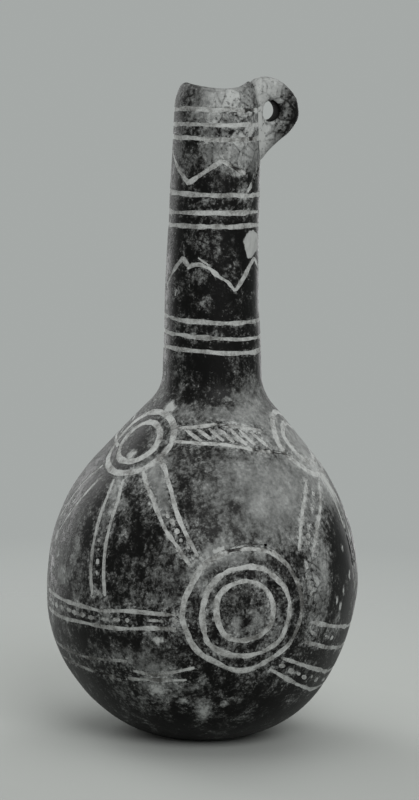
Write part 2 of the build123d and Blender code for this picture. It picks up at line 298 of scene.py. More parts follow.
# ring drawn round a centre on the pot, radius in mm, uneven by hand
def drawnRing(turn, z, radius, uneven, seed):
    centre, out = onSkin(turn, z * mm)
    c, s = around(turn)
    side = Vector((-s, c, 0))
    up = out.cross(side)
    count = int(tau * radius * mm / incised["spacing"])
    line = []
    for i in range(count):
        c, s = cos(tau * i / count), sin(tau * i / count)
        w = 1
        for share, size, seedStep in incised["ringWave"]:
            w += share * uneven * wander(c * size, s * size, seed * seedStep)
        t, h = slideOnto(centre + (side * c + up * s) * radius * mm * w, out)
        line.append((t, h, i * incised["spacing"]))
    return line


# tubes along the lines cut the grooves, and pressed under the skin they are the lime
def strokeTube(name, marks):
    curve = bpy.data.curves.new(name, "CURVE")
    curve.dimensions = "3D"
    curve.bevel_depth = incised["bevel"]
    curve.bevel_resolution = incised["bevelSides"]
    curve.use_fill_caps = True
    for mark in marks:
        line, closed = mark["line"], mark.get("closed", False)
        last = len(line) - 1
        spline = curve.splines.new("POLY")
        spline.points.add(last)
        spline.use_cyclic_u = closed
        for i, (turn, z, along) in enumerate(line):
            uneven = 1
            for share, size, layer in incised["thickness"]:
                uneven += share * wander(along / size, mark["seed"] * 1.9, layer)
            thick = mark["half"] * uneven
            if mark.get("round"):
                thick *= sqrt(1 - incised["prickRound"] * (2 * along / line[-1][2] - 1) ** 2)
            elif not closed:
                thick *= incised["endThin"] + (1 - incised["endThin"]) * min(1, min(i, last - i) / 2)
            p, out = onSkin(turn, z)
            p += out * max(incised["lift"] * thick, incised["bevel"] * thick - incised["deepest"])
            spline.points[i].co = (*p, 1)
            spline.points[i].radius = thick
    holder = addPiece(name, curve)
    mesh = evaluated(holder)
    bpy.data.objects.remove(holder)
    bpy.data.curves.remove(curve)
    bm = bmesh.new()
    bm.from_mesh(mesh)
    bpy.data.meshes.remove(mesh)
    bmesh.ops.remove_doubles(bm, verts=bm.verts, dist=tubeWeld)
    bmesh.ops.recalc_face_normals(bm, faces=bm.faces)
    return newPiece(name, bm)


def stroke(corners, half, seed, wobble=1):
    return {"line": drawnLine(corners, seed, wobble), "half": half, "seed": seed}


def ring(turn, z, radius, half, uneven, seed):
    return {"line": drawnRing(turn, z, radius, uneven, seed), "half": half, "seed": seed, "closed": True}


pricking = {
    "first": 1.2 * mm, "tremble": 0.6, "gapVary": 0.3, "skipOver": 0.28, "lengthVary": 1.1, "leastStep": 0.5 * mm,
    "halfVary": 0.9, "aside": 1.2 * mm, "slant": 1.6 * mm, "along": (0, 0.12, 0.5, 0.88, 1),
}


# prick marks in a row between two lines, each a short stroke, some missing
def pricks(corners, dots, seed):
    base = drawnLine(corners, seed, pricking["tremble"])
    marks, n = [], 0
    nextAt = max(dots["from"] * base[-1][2], pricking["first"])

    def vary(step, layer):
        return wander(n * step, seed, layer)

    for (t0, z0, at), (t1, z1, beyond) in zip(base[1:], base[2:]):
        if at < nextAt:
            continue
        n += 1
        nextAt += dots["spacing"] * (1 + pricking["gapVary"] * vary(3.3, 1))
        if vary(4.1, 3) > pricking["skipOver"]:
            continue
        length = dots["length"] * (1 + pricking["lengthVary"] * vary(1.7, 2))
        length /= max(beyond - at, pricking["leastStep"])
        r = hypot(*onSkin(t0, z0)[0].xy)
        aside = pricking["aside"] * vary(2.3, 7)
        slant = pricking["slant"] * vary(1.3, 9)
        line = []
        for u in pricking["along"]:
            off = aside + slant * (u - 0.5)
            t = t0 + (t1 - t0) * length * u + degrees(off / r)
            line.append((t, z0 + (z1 - z0) * length * u + off, length * u))
        half = dots["half"] * (1 + pricking["halfVary"] * vary(2.9, 6))
        marks.append({"line": line, "half": half, "seed": seed + n, "round": True})
    return marks


# neck rings: heights, drop across the front and rise in the middle of it, mm
neckLines = {
    "half": 1.1, "points": 96, "pitch": 1.3, "tiltFrom": 190, "frontFrom": 100,
    "step": 0.2, "wobble": 0.5, "wobbleSize": 2.2,
    "groups": {"rim": (285, 278.7, 272.8), "middle": (247.7, 239.5, 233.5), "foot": (191.7, 184.4, 177.7)},
    "tilt": {"rim": (-0.6, -1.2, -1.2), "middle": (-0.3, -1.2, -0.8), "foot": (0.7, 0.9, 0.1)},
    "front": {"rim": (1, 0.5, 0), "middle": (0.3, 0.4, 0.3), "foot": (-1, -0.7, -0.1)},
}
zigzags = {
    "half": 1.1, "tremble": 0.7, "tickHalf": 0.6,
    "upper": [[(-187, 267.5), (-136, 252.6), (-92, 263.4), (-58, 257.6)],
              [(-54, 249.6), (-30, 258.5), (-2, 267.5), (43, 253), (88, 267.5), (133, 253.5), (171, 267)]],
    "lower": [[(-178, 204.5), (-140, 219), (-131, 215.7)],
              [(-133, 214.4), (-125, 216.4), (-114, 216.7), (-103, 215), (-93, 211.7), (-80, 209.2), (-70, 205.2),
               (-45, 216.6), (-35, 219.5), (10, 206.5), (55, 219), (100, 206.6), (145, 219.4), (182, 204.5)]],
    "ticks": [[(-149, 204.6), (-151, 201.4)], [(-118, 219.8), (-105, 216.6)]],
}
shoulderRoundels = {"turns": (-150, -25, 90.5), "z": 136.8, "outer": 17.5, "inner": 11, "half": 1.8, "uneven": 0.05}
bellyRoundels = {
    "turns": (-84, 35.7, 155.7), "z": 69.3, "half": 1.4, "uneven": 0.07, "shadeGrooveHalf": 0.8,
    # radius, shift aside, shift up
    "rings": {"outer": (27.3, 0.8, 0), "middle": (20.3, 1.2, -1.4), "inner": (13.4, 0, 0)},
    "darkLines": {  # empty grooves beside the first roundel's rings, dark as painted shade of the ring grooves' upper edges
        "outer": [[(-90, 96.6), (-86, 98), (-82, 98.3), (-77, 97.3), (-73, 94.9)],
                  [(-65.2, 90.4), (-62.9, 87.6), (-60.9, 83.4)]],
        "middle": [[(-92, 83.7), (-89.1, 85.8), (-84.3, 86.7)]],
        "inner": [[(-76.4, 82.4), (-73.4, 79.2), (-72.2, 75.3)]],
    },
}
collars = {
    "half": 0.95, "hatchHalf": 1,
    "upper": [(-125, 144.4), (-94, 146.8), (-67, 144.8), (-60, 143.8)],
    "lower": [(-124, 138.8), (-91, 138.9), (-65, 135.9), (-46, 133.2)],
    "hatch": [((-118, 144.2), (-105, 139.6)), ((-110, 144.6), (-99, 140.6)), ((-101, 145), (-91, 140)),
              ((-94, 145.6), (-84, 139.6)), ((-86, 145.6), (-76, 138.6)), ((-79, 145), (-69, 137.8)),
              ((-70, 143.6), (-61, 137.6))],
}
straps = {
    "half": 1, "dots": {"half": 1.15, "spacing": 4.8 * mm, "length": 2.4 * mm, "from": 0.5},
    "beads": {"half": 1.2, "spacing": 4.6 * mm, "length": 2.4 * mm, "from": 0.1},
    "left": ([(-166, 125), (-173, 116), (-182, 99)], [(-159, 121.5), (-166, 108), (-175, 94)]),
    "middle": ([(-149, 121), (-147, 113.5), (-146, 96), (-145, 82), (-143.2, 71)],
               [(-143.3, 121.6), (-140.3, 113), (-139.7, 95), (-138, 77), (-137.2, 71.5)]),
    "right": ([(-134.5, 126.5), (-124, 116.3), (-115, 103), (-109.6, 96.4), (-104.5, 89)],
              [(-127.5, 131.3), (-121.8, 126.9), (-116.3, 119.8), (-107.5, 103.3), (-101.5, 92.5)]),
    "leftSecond": ([(-44.8, 122.6), (-53.7, 111.8), (-58.6, 102.5), (-61, 94)],
                   [(-34.2, 120.5), (-41, 112.4), (-49, 102.5), (-54.2, 92.5)]),
    "leftSecondTrail": [(-57.6, 92), (-58.5, 84), (-56, 70)],
}
belts = {
    "half": 1, "dots": {"half": 1.15, "spacing": 6 * mm, "length": 3.9 * mm, "from": 0},
    "upper": ([(-179.5, 66), (-153, 64.8), (-139, 64.8), (-125, 66.6), (-109, 66.8)],
              [(-179.5, 57.4), (-158, 56.8), (-142, 57.6), (-131, 57.9), (-118, 59.8), (-108.5, 60.6)]),
    "lower": ([(-179.5, 42), (-165, 40.8), (-150, 40.9), (-139, 41.8), (-128, 43.2)],
              [(-176, 35.5), (-135, 33.9), (-104, 36.6)]),
    "upperSecond": ([(-55, 61.9), (-40, 57.4), (-27, 54.6), (-10, 53.8), (12.5, 56)],
                    [(-57, 52.9), (-42, 47.9), (-28, 44.9), (-10, 44.8), (12, 47.5)]),
    "lowerSecond": ([(-66, 46.2), (-48, 39), (-31, 34), (-10, 33.2), (10, 36)],
                    [(-71, 41.4), (-53, 31.4), (-38, 26.6), (-15, 25.6), (8, 28)]),
    "sag": [(-126, 38.9), (-117, 37.7), (-110, 39.6), (-101, 42.8)],
}
thirds = (0, 120, 240)


def neckRing(z, tilt, front, seed):
    loop = []
    for k in range(neckLines["points"]):
        a = k * 360 / neckLines["points"]
        height = z + tilt * around(a + neckLines["tiltFrom"])[0] * 0.5 + front * around(a + neckLines["frontFrom"])[0]
        height += neckLines["step"] * sin(radians(a) * 1.5 + seed)
        c, s = around(a)
        wobble = wander(c * neckLines["wobbleSize"], s * neckLines["wobbleSize"], seed * 1.7)
        loop.append((a, (height + neckLines["wobble"] * wobble) * mm, k * neckLines["pitch"] * mm))
    return {"line": loop, "half": neckLines["half"], "seed": seed, "closed": True}


def turnedBy(corners, by):
    return [(t + by, z) for t, z in corners]


# line half way between two others
def midway(a, b, parts=8):
    def at(line, share):
        x = share * (len(line) - 1)
        i = min(int(x), len(line) - 2)
        return mixed(line[i], line[i + 1], x - i)
    return [mixed(at(a, k / parts), at(b, k / parts), 0.5) for k in range(parts + 1)]


# strokes of every inlay, by the node it stands for
strokesOf = {}
shadeGrooveLines = []
seed = 1
for group, heights in neckLines["groups"].items():
    for number, (z, tilt, front) in enumerate(zip(heights, neckLines["tilt"][group], neckLines["front"][group]), 1):
        strokesOf[f"{group}_line_{number}"] = [neckRing(z, tilt, front, seed)]
        seed += 1
for level in ("upper", "lower"):
    parts = enumerate(zigzags[level], seed)
    strokesOf[f"neck_zigzag_{level}"] = [stroke(part, zigzags["half"], n, zigzags["tremble"]) for n, part in parts]
    seed += 4
ticks = enumerate(zigzags["ticks"], seed)
strokesOf["neck_zigzag_lower"] += [stroke(tick, zigzags["tickHalf"], n) for n, tick in ticks]
for number, by in enumerate(thirds, 1):
    second = number == 2
    kind = shoulderRoundels
    for size in ("outer", "inner"):
        mark = ring(kind["turns"][number - 1], kind["z"], kind[size], kind["half"], kind["uneven"], seed)
        strokesOf[f"shoulder_roundel_{size}_{number}"] = [mark]
        seed += 1
    kind = bellyRoundels
    for size, (radius, aside, up) in kind["rings"].items():
        turn = kind["turns"][number - 1] + degrees(aside * mm / vessel["bellyR"])
        mark = ring(turn, kind["z"] + up, radius, kind["half"], kind["uneven"], seed)
        strokesOf[f"belly_roundel_{size}_{number}"] = [mark]
        seed += 1
    if number == 1:
        # dark grooves beside the first roundel's rings, painted shade along the ring grooves' edges
        for size, lines in kind["darkLines"].items():
            shadeGroove = [{**stroke(line, kind["shadeGrooveHalf"], n), "shadeGroove": True} for n, line in enumerate(lines, seed)]
            strokesOf[f"belly_roundel_{size}_1"] += shadeGroove
            shadeGrooveLines += [mark["line"] for mark in shadeGroove]
    lines = enumerate((collars["upper"], collars["lower"]), seed)
    marks = [stroke(turnedBy(line, by), collars["half"], n) for n, line in lines]
    hatch = enumerate(collars["hatch"], seed + 5)
    marks += [stroke(turnedBy(pair, by), collars["hatchHalf"], n) for n, pair in hatch]
    strokesOf[f"collar_lines_{number}"] = marks
    seed += 15
    for side in ("left", "middle", "right"):
        beaded = second and side == "left"
        a, b = straps["leftSecond"] if beaded else [turnedBy(part, by) for part in straps[side]]
        marks = [stroke(a, straps["half"], seed), stroke(b, straps["half"], seed + 1)]
        marks += pricks(midway(a, b), straps["beads" if beaded else "dots"], seed + 2)
        if beaded:
            marks += pricks(straps["leftSecondTrail"], straps["beads"], seed + 3)
        strokesOf[f"strap_{side}_{number}"] = marks
        seed += 40
    for level in ("upper", "lower"):
        a, b = belts[level + "Second"] if second else [turnedBy(part, by) for part in belts[level]]
        marks = [stroke(a, belts["half"], seed), stroke(b, belts["half"], seed + 1)]
        if second or level == "upper":
            marks += pricks(midway(a, b), belts["dots"], seed + 2)
        else:
            marks.append(stroke(turnedBy(belts["sag"], by), belts["half"], seed + 2))
        strokesOf[f"belt_{level}_{number}"] = marks
        seed += 40
tubes = {node: strokeTube("tube_" + node, marks) for node, marks in strokesOf.items()}
print("incised lines drawn", len(tubes))

# skins of burnished slip, parted at the lowest neck ring
skins = {
    "partZ": neckLines["groups"]["foot"][2] * mm, "overlap": 2 * mm, "innerCoarser": 3,
    "bodySteps": 288, "neckSteps": 176, "bodyStep": 1.5 * mm, "neckStep": 1.2 * mm,
    "lipGap": 0.01 * mm, "mouthRound": 0.35 * mm, "mouthEdge": 1.2 * mm, "mouthDepth": 6 * mm,
}


def coat(name, lowZ, outerTop, mouth, innerTop, step, steps):
    outer = sideBetween(0, lowZ, outerTop, step)
    inner = sideBetween(vessel["slip"], lowZ, innerTop, step * skins["innerCoarser"])
    return turned(name, outer + mouth + inner[::-1], steps)


partZ, boreR, spigotR = skins["partZ"], vessel["boreR"], vessel["spigotR"]
mouth = [(boreR + vessel["boreEdge"], rimZ), (boreR + skins["mouthRound"], rimZ - skins["mouthRound"]),
         (boreR, rimZ - skins["mouthEdge"]), (boreR, rimZ - skins["mouthDepth"])]
bodySkin = coat("burnishedBody", vessel["slipFootGap"], partZ, [], partZ, skins["bodyStep"], skins["bodySteps"])
neckSkin = coat("burnishedNeck", partZ, rimZ - skins["lipGap"], mouth, rimZ - skins["mouthDepth"],
                skins["neckStep"], skins["neckSteps"])

# lime: the tube's upper side pressed to just under the skin, deeper where lime has fallen out
filling = {
    "under": 0.1 * mm, "rough": 0.09 * mm, "roughSize": 3 * mm, "lost": 0.55 * mm, "lostFrom": 0.66, "lostTo": 0.9,
    "patch": 0.62, "patchSize": 15 * mm, "patchAt": Vector((1.5, 4.5, 8.5)), "crumb": 0.34, "crumbSize": 5 * mm,
    "lostShare": 1.2, "faintShare": 0.5, "shadeGrooveReach": 1.7 * mm,
}


def spotsOf(places):
    return [(onSkin(turn, z * mm)[0], reach * mm) for turn, z, reach in places]


def nearness(p, spots):
    return sum(exp(-((p - spot).length / reach) ** 2) for spot, reach in spots)


# places as (turn, height mm, reach mm)
lostSpots = spotsOf([
    (-50, 286.8, 5), (-49, 273.6, 4), (-73, 259.5, 5), (-36, 256, 6), (-92, 146.8, 4), (-24, 136, 9),
    (-70, 136.6, 2.2), (-64, 135.7, 2.2), (-58, 135, 2.6), (-52, 134, 2.8), (-47, 133.2, 3), (-89, 96.6, 5),
    (-63, 84, 5), (-26, 96, 6), (-27, 84, 6), (-20, 88, 5), (-143, 34.5, 6), (-132, 34, 6),
])
faintSpots = spotsOf([
    (-66, 87, 6), (-62, 79.5, 6), (-60.5, 69, 6), (-61, 59, 6), (-160, 41, 10), (-142, 41, 9), (-165, 35, 8),
    (-117, 38, 5),
])
# the lime along those dark grooves is sunk and darkened as painted shade
lostSpots += [(onSkin(turn, z)[0], filling["shadeGrooveReach"]) for line in shadeGrooveLines for turn, z, along in line]


def lostAt(p):
    patch = filling["patch"] * noise(p / filling["patchSize"] + filling["patchAt"])
    patch += filling["crumb"] * noise(p / filling["crumbSize"])
    patch += filling["lostShare"] * nearness(p, lostSpots)
    lost = smoothStep(filling["lostFrom"], filling["lostTo"], patch)
    return max(lost, filling["faintShare"] * min(nearness(p, faintSpots), 1))


def addLayer(piece, name, values):
    piece.data.attributes.new(name, "FLOAT", "POINT").data.foreach_set("value", values)


def limeFrom(tube, name):
    lime = addPiece(name, tube.data.copy())
    bare = []
    for vert in lime.data.vertices:
        p = vert.co
        skin, out = onSkin(0, p.z)
        r = hypot(p.x, p.y)
        over = (r - skin.x) * out.x
        lost = lostAt(p)
        bare.append(lost)
        level = -filling["under"] - filling["rough"] * noise(p / filling["roughSize"]) - filling["lost"] * lost
        if over > level:
            vert.co = p - Vector((out.x * p.x / r, out.x * p.y / r, out.z)) * (over - level)
    addLayer(lime, "bare", bare)
    return lime


limePieces = {node: limeFrom(tube, "lime_" + node) for node, tube in tubes.items()}
print("lime pressed in", len(limePieces))


def reaches(tube, low, high):
    heights = [v.co.z for v in tube.data.vertices]
    return min(heights) < high and max(heights) > low


carve(bodySkin, [t for t in tubes.values() if reaches(t, 0, partZ + skins["overlap"])])
carve(neckSkin, [t for t in tubes.values() if reaches(t, partZ - skins["overlap"], rimZ)])
for tube in tubes.values():
    data = tube.data
    bpy.data.objects.remove(tube)
    bpy.data.meshes.remove(data)
print("grooves cut", len(bodySkin.data.polygons), len(neckSkin.data.polygons))

# clay members under the slip
clay = {
    "steps": 144, "neckSteps": 96, "step": 4 * mm, "footZ": 0.02 * mm, "floorZ": 4.6 * mm, "floorMidZ": 4.52 * mm,
    "seamOut": 68.4 * mm, "seamIn": 71.9 * mm, "seamGap": 0.05 * mm, "throatZ": 158 * mm, "throatGap": 0.1 * mm,
    "spigotZ": 153.5 * mm, "spigotGap": 0.2 * mm, "spigotEndZ": 155 * mm, "boreFootZ": 160.5 * mm,
    "neckGap": 0.02 * mm, "neckDrop": 7 * mm, "boreDrop": 6.2 * mm, "boreWall": 2.6 * mm,
    "boreHeights": range(284, 163, -8),
}
bowlOuter = sideBetween(vessel["slip"], clay["footZ"], clay["seamOut"], clay["step"])
bowlInner = sideBetween(vessel["wall"], clay["floorZ"], clay["seamIn"], clay["step"])
bowlSection = [(0, 0)] + bowlOuter + bowlInner[::-1] + [(0, clay["floorMidZ"])]
clayBowl = turned("clayBowl", bowlSection, clay["steps"])
domeTop = clay["throatZ"] - clay["throatGap"]
domeOuter = sideBetween(vessel["slip"], clay["seamOut"] + clay["seamGap"], domeTop, clay["step"])
domeInner = sideBetween(vessel["wall"], clay["seamIn"] + clay["seamGap"], clay["spigotZ"], clay["step"])
domeSection = domeOuter + [(spigotR + clay["spigotGap"], domeTop)] + domeInner[::-1]
clayShoulder = turned("clayShoulder", domeSection, clay["steps"])
boreTop = rimZ - clay["boreDrop"]
neckSection = sideBetween(vessel["slip"] + clay["neckGap"], clay["throatZ"], rimZ - clay["neckDrop"], clay["step"])
neckSection += [(boreR + clay["boreWall"], boreTop), (boreR, boreTop)]
neckSection += [(boreR, z * mm) for z in clay["boreHeights"]]
neckSection += [(boreR, clay["boreFootZ"]), (spigotR, clay["spigotEndZ"]), (spigotR, clay["throatZ"])]
clayNeck = turned("clayNeck", neckSection, clay["neckSteps"])
print("clay members made")

# string lug: an ear of clay pressed on at the lip, pierced for a cord; outline and places as (x, z) in mm
lug = {
    "hole": (22.3, 284.9), "holeR": 3.7, "thick": 10.6, "skew": 0.8, "skewReach": 4, "segments": 48,
    "outline": [(13.9, 296), (15.6, 297.6), (18.2, 298.6), (21.5, 298.8), (25.6, 297.8), (29.6, 295.8), (33, 292.8),
        (35.6, 289.6), (37, 285), (36.7, 282), (34.9, 278.8), (31.8, 274.8), (28.4, 272), (24.6, 268.8),
        (21.8, 265.8), (19.6, 262.2), (16, 261), (14.4, 275)],
    "shares": (0.1, 0.34, 0.62, 0.84, 1), "proud": (0.78, 0.94, 1, 0.95, 0.76, 0.42),
    "rootFrom": 17 * mm, "rootTo": 25 * mm, "rootSpread": 0.75, "smooth": 2,
    # size, share and place of the unevenness along x, y and z
    "rough": 0.35 * mm, "lumps": ((7 * mm, 1, (0, 0, 0)), (6 * mm, 1.2, (4, 4, 4)), (8 * mm, 1, (7, 1, 3))),
    # pale and dark places on the lug as (x, z, reach, strength) in mm; the last is painted shade on the right inner
    # wall of the string hole
    "worn": [(22, 299, 8, 0.36), (20, 271, 8, 0.28), (18.5, 286, 4, 0.06), (34, 287, 6, -0.38), (31, 277, 6, -0.56),
             (26.8, 285.8, 1.7, -0.75)],
    # the inside of the string hole is painted dark: painted shade
    "holeRim": 0.5, "holeShade": 1.8,
}
holeX, holeZ = lug["hole"]
holeReach = lug["holeR"] + lug["holeRim"]
halfThick = lug["thick"] / 2


# from the hole's middle to the outline, mm
def edgeDistance(angle):
    direction = Vector((cos(angle), sin(angle)))
    best = 0
    corners = [Vector((x - holeX, z - holeZ)) for x, z in lug["outline"]]
    for a, b in zip(corners, corners[1:] + corners[:1]):
        side = b - a
        cross = direction.x * side.y - direction.y * side.x
        if abs(cross) > 1e-9:
            along = (a.x * side.y - a.y * side.x) / cross
            share = (a.x * direction.y - a.y * direction.x) / cross
            if along > 0 and -1e-6 <= share <= 1 + 1e-6:
                best = max(best, along)
    return best


bm = bmesh.new()
rings = [bmesh.ops.create_circle(bm, segments=lug["segments"], radius=lug["holeR"] * mm)["verts"]]
edges = list(bm.edges)
for share in lug["shares"]:
    grown = bmesh.ops.extrude_edge_only(bm, edges=edges)["geom"]
    newVerts = [g for g in grown if isinstance(g, bmesh.types.BMVert)]
    edges = [e for e in grown if isinstance(e, bmesh.types.BMEdge) and all(v in newVerts for v in e.verts)]
    for v in newVerts:
        angle = atan2(v.co.y, v.co.x)
        reach = lug["holeR"] + (edgeDistance(angle) - lug["holeR"]) * share
        v.co = Vector((cos(angle), sin(angle), 0)) * reach * mm
    rings.append(newVerts)
for ringVerts, proud in zip(rings, lug["proud"]):
    for v in ringVerts:
        v.co.z = halfThick * mm * proud
back = bmesh.ops.duplicate(bm, geom=list(bm.verts) + list(bm.edges) + list(bm.faces))["geom"]
for v in [g for g in back if isinstance(g, bmesh.types.BMVert)]:
    v.co.z *= -1
inner = [e for e in bm.edges if e.is_boundary and max(v.co.xy.length for v in e.verts) < holeReach * mm]
bmesh.ops.bridge_loops(bm, edges=inner)
bmesh.ops.bridge_loops(bm, edges=[e for e in bm.edges if e.is_boundary])
for v in bm.verts:
    x, y, z = v.co
    nearHole = 1 - smoothStep(lug["holeR"] * mm, (lug["holeR"] + lug["skewReach"]) * mm, hypot(x, y))
    x -= lug["skew"] * mm * nearHole * z / (halfThick * mm)  # the hole was poked through at a slant
    v.co = Vector((holeX * mm + x, z, holeZ * mm + y))
    root = 1 - smoothStep(lug["rootFrom"], lug["rootTo"], hypot(v.co.x, v.co.y))
    v.co.y *= 1 + lug["rootSpread"] * root * root  # clay smeared out onto the neck
    lump = [share * noise(v.co / size + Vector(at)) for size, share, at in lug["lumps"]]
    v.co += Vector(lump) * lug["rough"]
bmesh.ops.recalc_face_normals(bm, faces=bm.faces)
stringLug = newPiece("stringLug", bm)
soften = stringLug.modifiers.new("soften", "SUBSURF")
soften.levels = soften.render_levels = lug["smooth"]
setMesh(stringLug, evaluated(stringLug))
# the lug's tone place by place, with painted shade inside the string hole
lugToneAndShade = []
for v in stringLug.data.vertices:
    x, y, z = v.co / mm
    tone = sum(s * exp(-((x - px) ** 2 + (z - pz) ** 2) / reach ** 2) for px, pz, reach, s in lug["worn"])
    skewed = (holeX - lug["skew"] * y / halfThick, holeZ)
    inHole = dist((x, z), skewed) < holeReach
    lugToneAndShade.append(tone - lug["holeShade"] * inHole)
print("lug made", len(stringLug.data.polygons))

# worn, pale and dark places, a few of them painted light along the edges, as (turn, height mm, reach mm round, reach
# mm up, strength)
wearAndLightPlaces = {
    # in the rim row the places at turns -20 and -28 are painted light on the neck's right edge beside the lug, over
    # the shade that falls there
    "rim": [(-80, 292, 14, 6, 0.4), (-70, 294, 20, 5, 0.22), (-20, 292, 7, 8, 0.28), (-108, 293, 10, 5, 0.3),
        (-100, 284, 9, 6, 0.2), (-112, 283, 20, 4, 0.2), (-128, 283, 18, 12, 0.3), (-28, 280, 9, 15, 0.22),
        (-62, 277, 14, 14, 0.56), (-135, 276, 7, 8, -0.12), (-108, 272, 24, 11, 0.12)],
    "neck": [(-86, 266, 11, 9, 0.4), (-36, 262, 7, 9, 0.35), (-100, 262, 20, 9, 0.14), (-150, 262, 8, 8, 0.2),
        # the place at turn -176 is a pale strip down the neck's left edge: worn speckle, and painted highlight of the
        # side light on that edge
        (-85, 253, 12, 5, -0.14), (-176, 250, 7, 50, 0.2), (-110, 245, 5, 3, 0.25), (-60, 236, 6, 5, 0.18),
        (-133, 232, 10, 22, -0.06), (-95, 229, 3, 8, 0.12), (-112, 226, 5, 8, 0.22), (-88, 222, 6, 14, -0.1),
        (-116, 211, 4, 4, 0.35), (-111, 199.6, 5, 3, 0.26), (-90, 197, 10, 9, -0.14), (-82, 171, 17, 9, -0.18),
        (-105, 168, 14, 12, -0.32), (-133, 167, 1.5, 12, 0.22), (-78, 166, 4, 8, 0.14)],
    "shoulder": [(-53, 160, 12, 12, 0.34), (-94, 151, 17, 4, 0.32), (-127, 150, 6, 4, 0.16), (-72, 149, 20, 5, 0.12),
        (-84, 141.5, 34, 5, 0.06), (-149.5, 137.5, 8, 8, -0.28), (-149.5, 136.5, 17, 17, 0.16),
        (-22, 136.5, 20, 20, 0.55), (-104.8, 134.1, 4, 4, -0.15), (-85, 130, 30, 6, 0.08), (-121, 128, 7, 14, 0.26),
        (-99.5, 127.5, 4, 4, -0.15), (-98, 122, 10, 12, 0.14), (-71.1, 119.8, 2, 2.5, -0.22),
        (-56, 120, 15, 14, 0.22), (-30, 119, 13, 12, 0.42), (-74, 116, 24, 20, 0.54), (-86.8, 113.7, 4, 2, -0.2),
        (-138, 112, 4, 7, 0.3)],
    "front": [(-112, 101, 4, 6, 0.08), (-93, 95, 7, 4, 0.5), (-84, 93, 14, 4, 0.18), (-101, 86, 6, 8, 0.3),
        (-112, 85, 13, 10, 0.28), (-68, 84, 5, 5, 0.16), (-126, 76, 12, 8, -0.08), (-109.1, 73.5, 5, 2, 0.25),
        (-118.6, 72.5, 5, 2, 0.2), (-127.1, 70.5, 4, 2, 0.35)],
    "roundel": [(-84, 69, 29, 29, 0.12), (-75, 66, 9, 14, -0.09), (-89.3, 76, 2.5, 3, 0.2), (-79.6, 75, 2.5, 3, -0.2),
        (-86.3, 72, 3, 3, -0.15), (-77.9, 69.6, 2, 3, 0.2), (-78.6, 63.7, 2.5, 3.5, 0.3), (-86.4, 63.1, 2.5, 4, 0.3),
        (-83.4, 62.1, 2, 5, -0.25)],
    "right": [(-47, 106, 6, 13, 0.16), (-29, 92, 2.5, 9, 0.3), (-25, 84, 9, 14, -0.42), (-34, 84, 8, 15, -0.3),
        (-55, 80, 7, 18, 0.52), (-49, 80, 4.5, 12, 0.34), (-33, 78, 2, 8, 0.35), (-25, 72, 3, 12, 0.25),
        (-38, 69, 6, 12, -0.16), (-50, 62, 4, 6, 0.26), (-39, 62, 2, 5, 0.3)],
    "left": [(-163, 95, 8, 16, 0.16), (-154, 95, 8, 14, -0.1), (-166, 92, 3, 6, -0.2), (-176.3, 91.3, 5, 8, 0.3),
        # the place at turn 178 is a pale strip down the belly's left edge, painted highlight of the side light on
        # that edge
        (178, 85, 8, 40, 0.22), (-154.9, 84.3, 3, 4, 0.3), (-149.5, 78.7, 3, 4, 0.2), (-163.2, 77.2, 5, 6, 0.25),
        (-166, 75, 10, 24, 0.26), (-168, 70, 8, 3, -0.25)],
    "below": [(-144.2, 47.3, 6, 2, 0.15), (-119, 47, 16, 6, 0.24), (-138, 44, 20, 6, 0.16), (-118.6, 41.1, 8, 2, 0.2),
        (-90, 40, 9, 6, -0.24), (-115, 38, 13, 5, 0.2), (-117, 30.6, 10, 7, 0.4), (-95, 28, 40, 14, -0.05),
        (-96.5, 21.4, 7, 8, 0.46), (-108, 20, 4, 6, -0.15), (-72, 20, 22, 12, -0.24), (-120, 14, 30, 8, -0.15)],
    "straps": [(turn, z, 3.6, 4.5, 0.34) for side in ("middle", "right") for by in thirds
               for turn, z in turnedBy(midway(*straps[side]), by)[:5]],
}
# bare chips and flakes, placed likewise, with the crispness of the edge last
chips = {
    "neck": [(-40, 226.2, 7.2, 5.7, 2.5), (-39, 229, 4.6, 3.2, 2.5), (-46, 223.5, 4, 3.4, 2.5),
        (-140, 290, 6, 4, 0.15), (-120, 283, 9, 2.4, 0.2), (-76, 279, 4.6, 2.4, 0.5), (-88, 266, 10, 7, 0.16),
        (-144, 262, 6, 7, 0.15), (-110, 245, 5, 3, 0.18), (-95, 229, 2.5, 7, 0.12), (-112, 226, 4, 7, 0.15),
        (-116, 211, 4, 4, 0.2), (-111, 199.6, 5, 3, 0.18)],
    "shoulder": [(-139.3, 151.8, 4.6, 4.2, 0.55), (-147.4, 131.2, 4, 3.2, 0.5), (-121, 147.4, 2.6, 1.4, 0.3),
        (-112, 148, 3, 1.3, 0.3), (-104, 148.6, 2.6, 1.3, 0.3), (-97.5, 149.2, 2.2, 1.2, 0.3)],
    "front": [(-93.5, 95.5, 6, 3, 0.5), (-109, 73, 5, 2, 0.2), (-127, 70.3, 5, 2.2, 0.25),
        (-115.3, 54.8, 3.8, 2.6, 0.45)],
    "right": [(-34, 92, 1.6, 2.6, 0.4), (-48, 80, 4, 11, 0.2), (-30, 79, 1.6, 3.8, 0.5), (-36, 73, 1.5, 3.2, 0.5),
        (-41, 70, 1.5, 3, 0.5), (-38, 66, 1.6, 3.6, 0.6)],
    "left": [(-176, 91, 6, 9, 0.32), (-157, 86, 3, 3, 0.3), (-169, 84, 3, 5, 0.35), (-162, 78, 6, 4, 0.32),
        (-173, 76, 3, 3, 0.3)],
    "below": [(-117, 30.6, 8.5, 6.5, 0.36), (-106, 26, 4, 3, 0.3), (-88, 25, 3, 3, 0.3), (-97, 21, 6, 8, 0.36)],
}
crustPlaces = [(-72, 280, 20, 20), (-55, 80, 8, 20), (0, 283, 20, 20)]
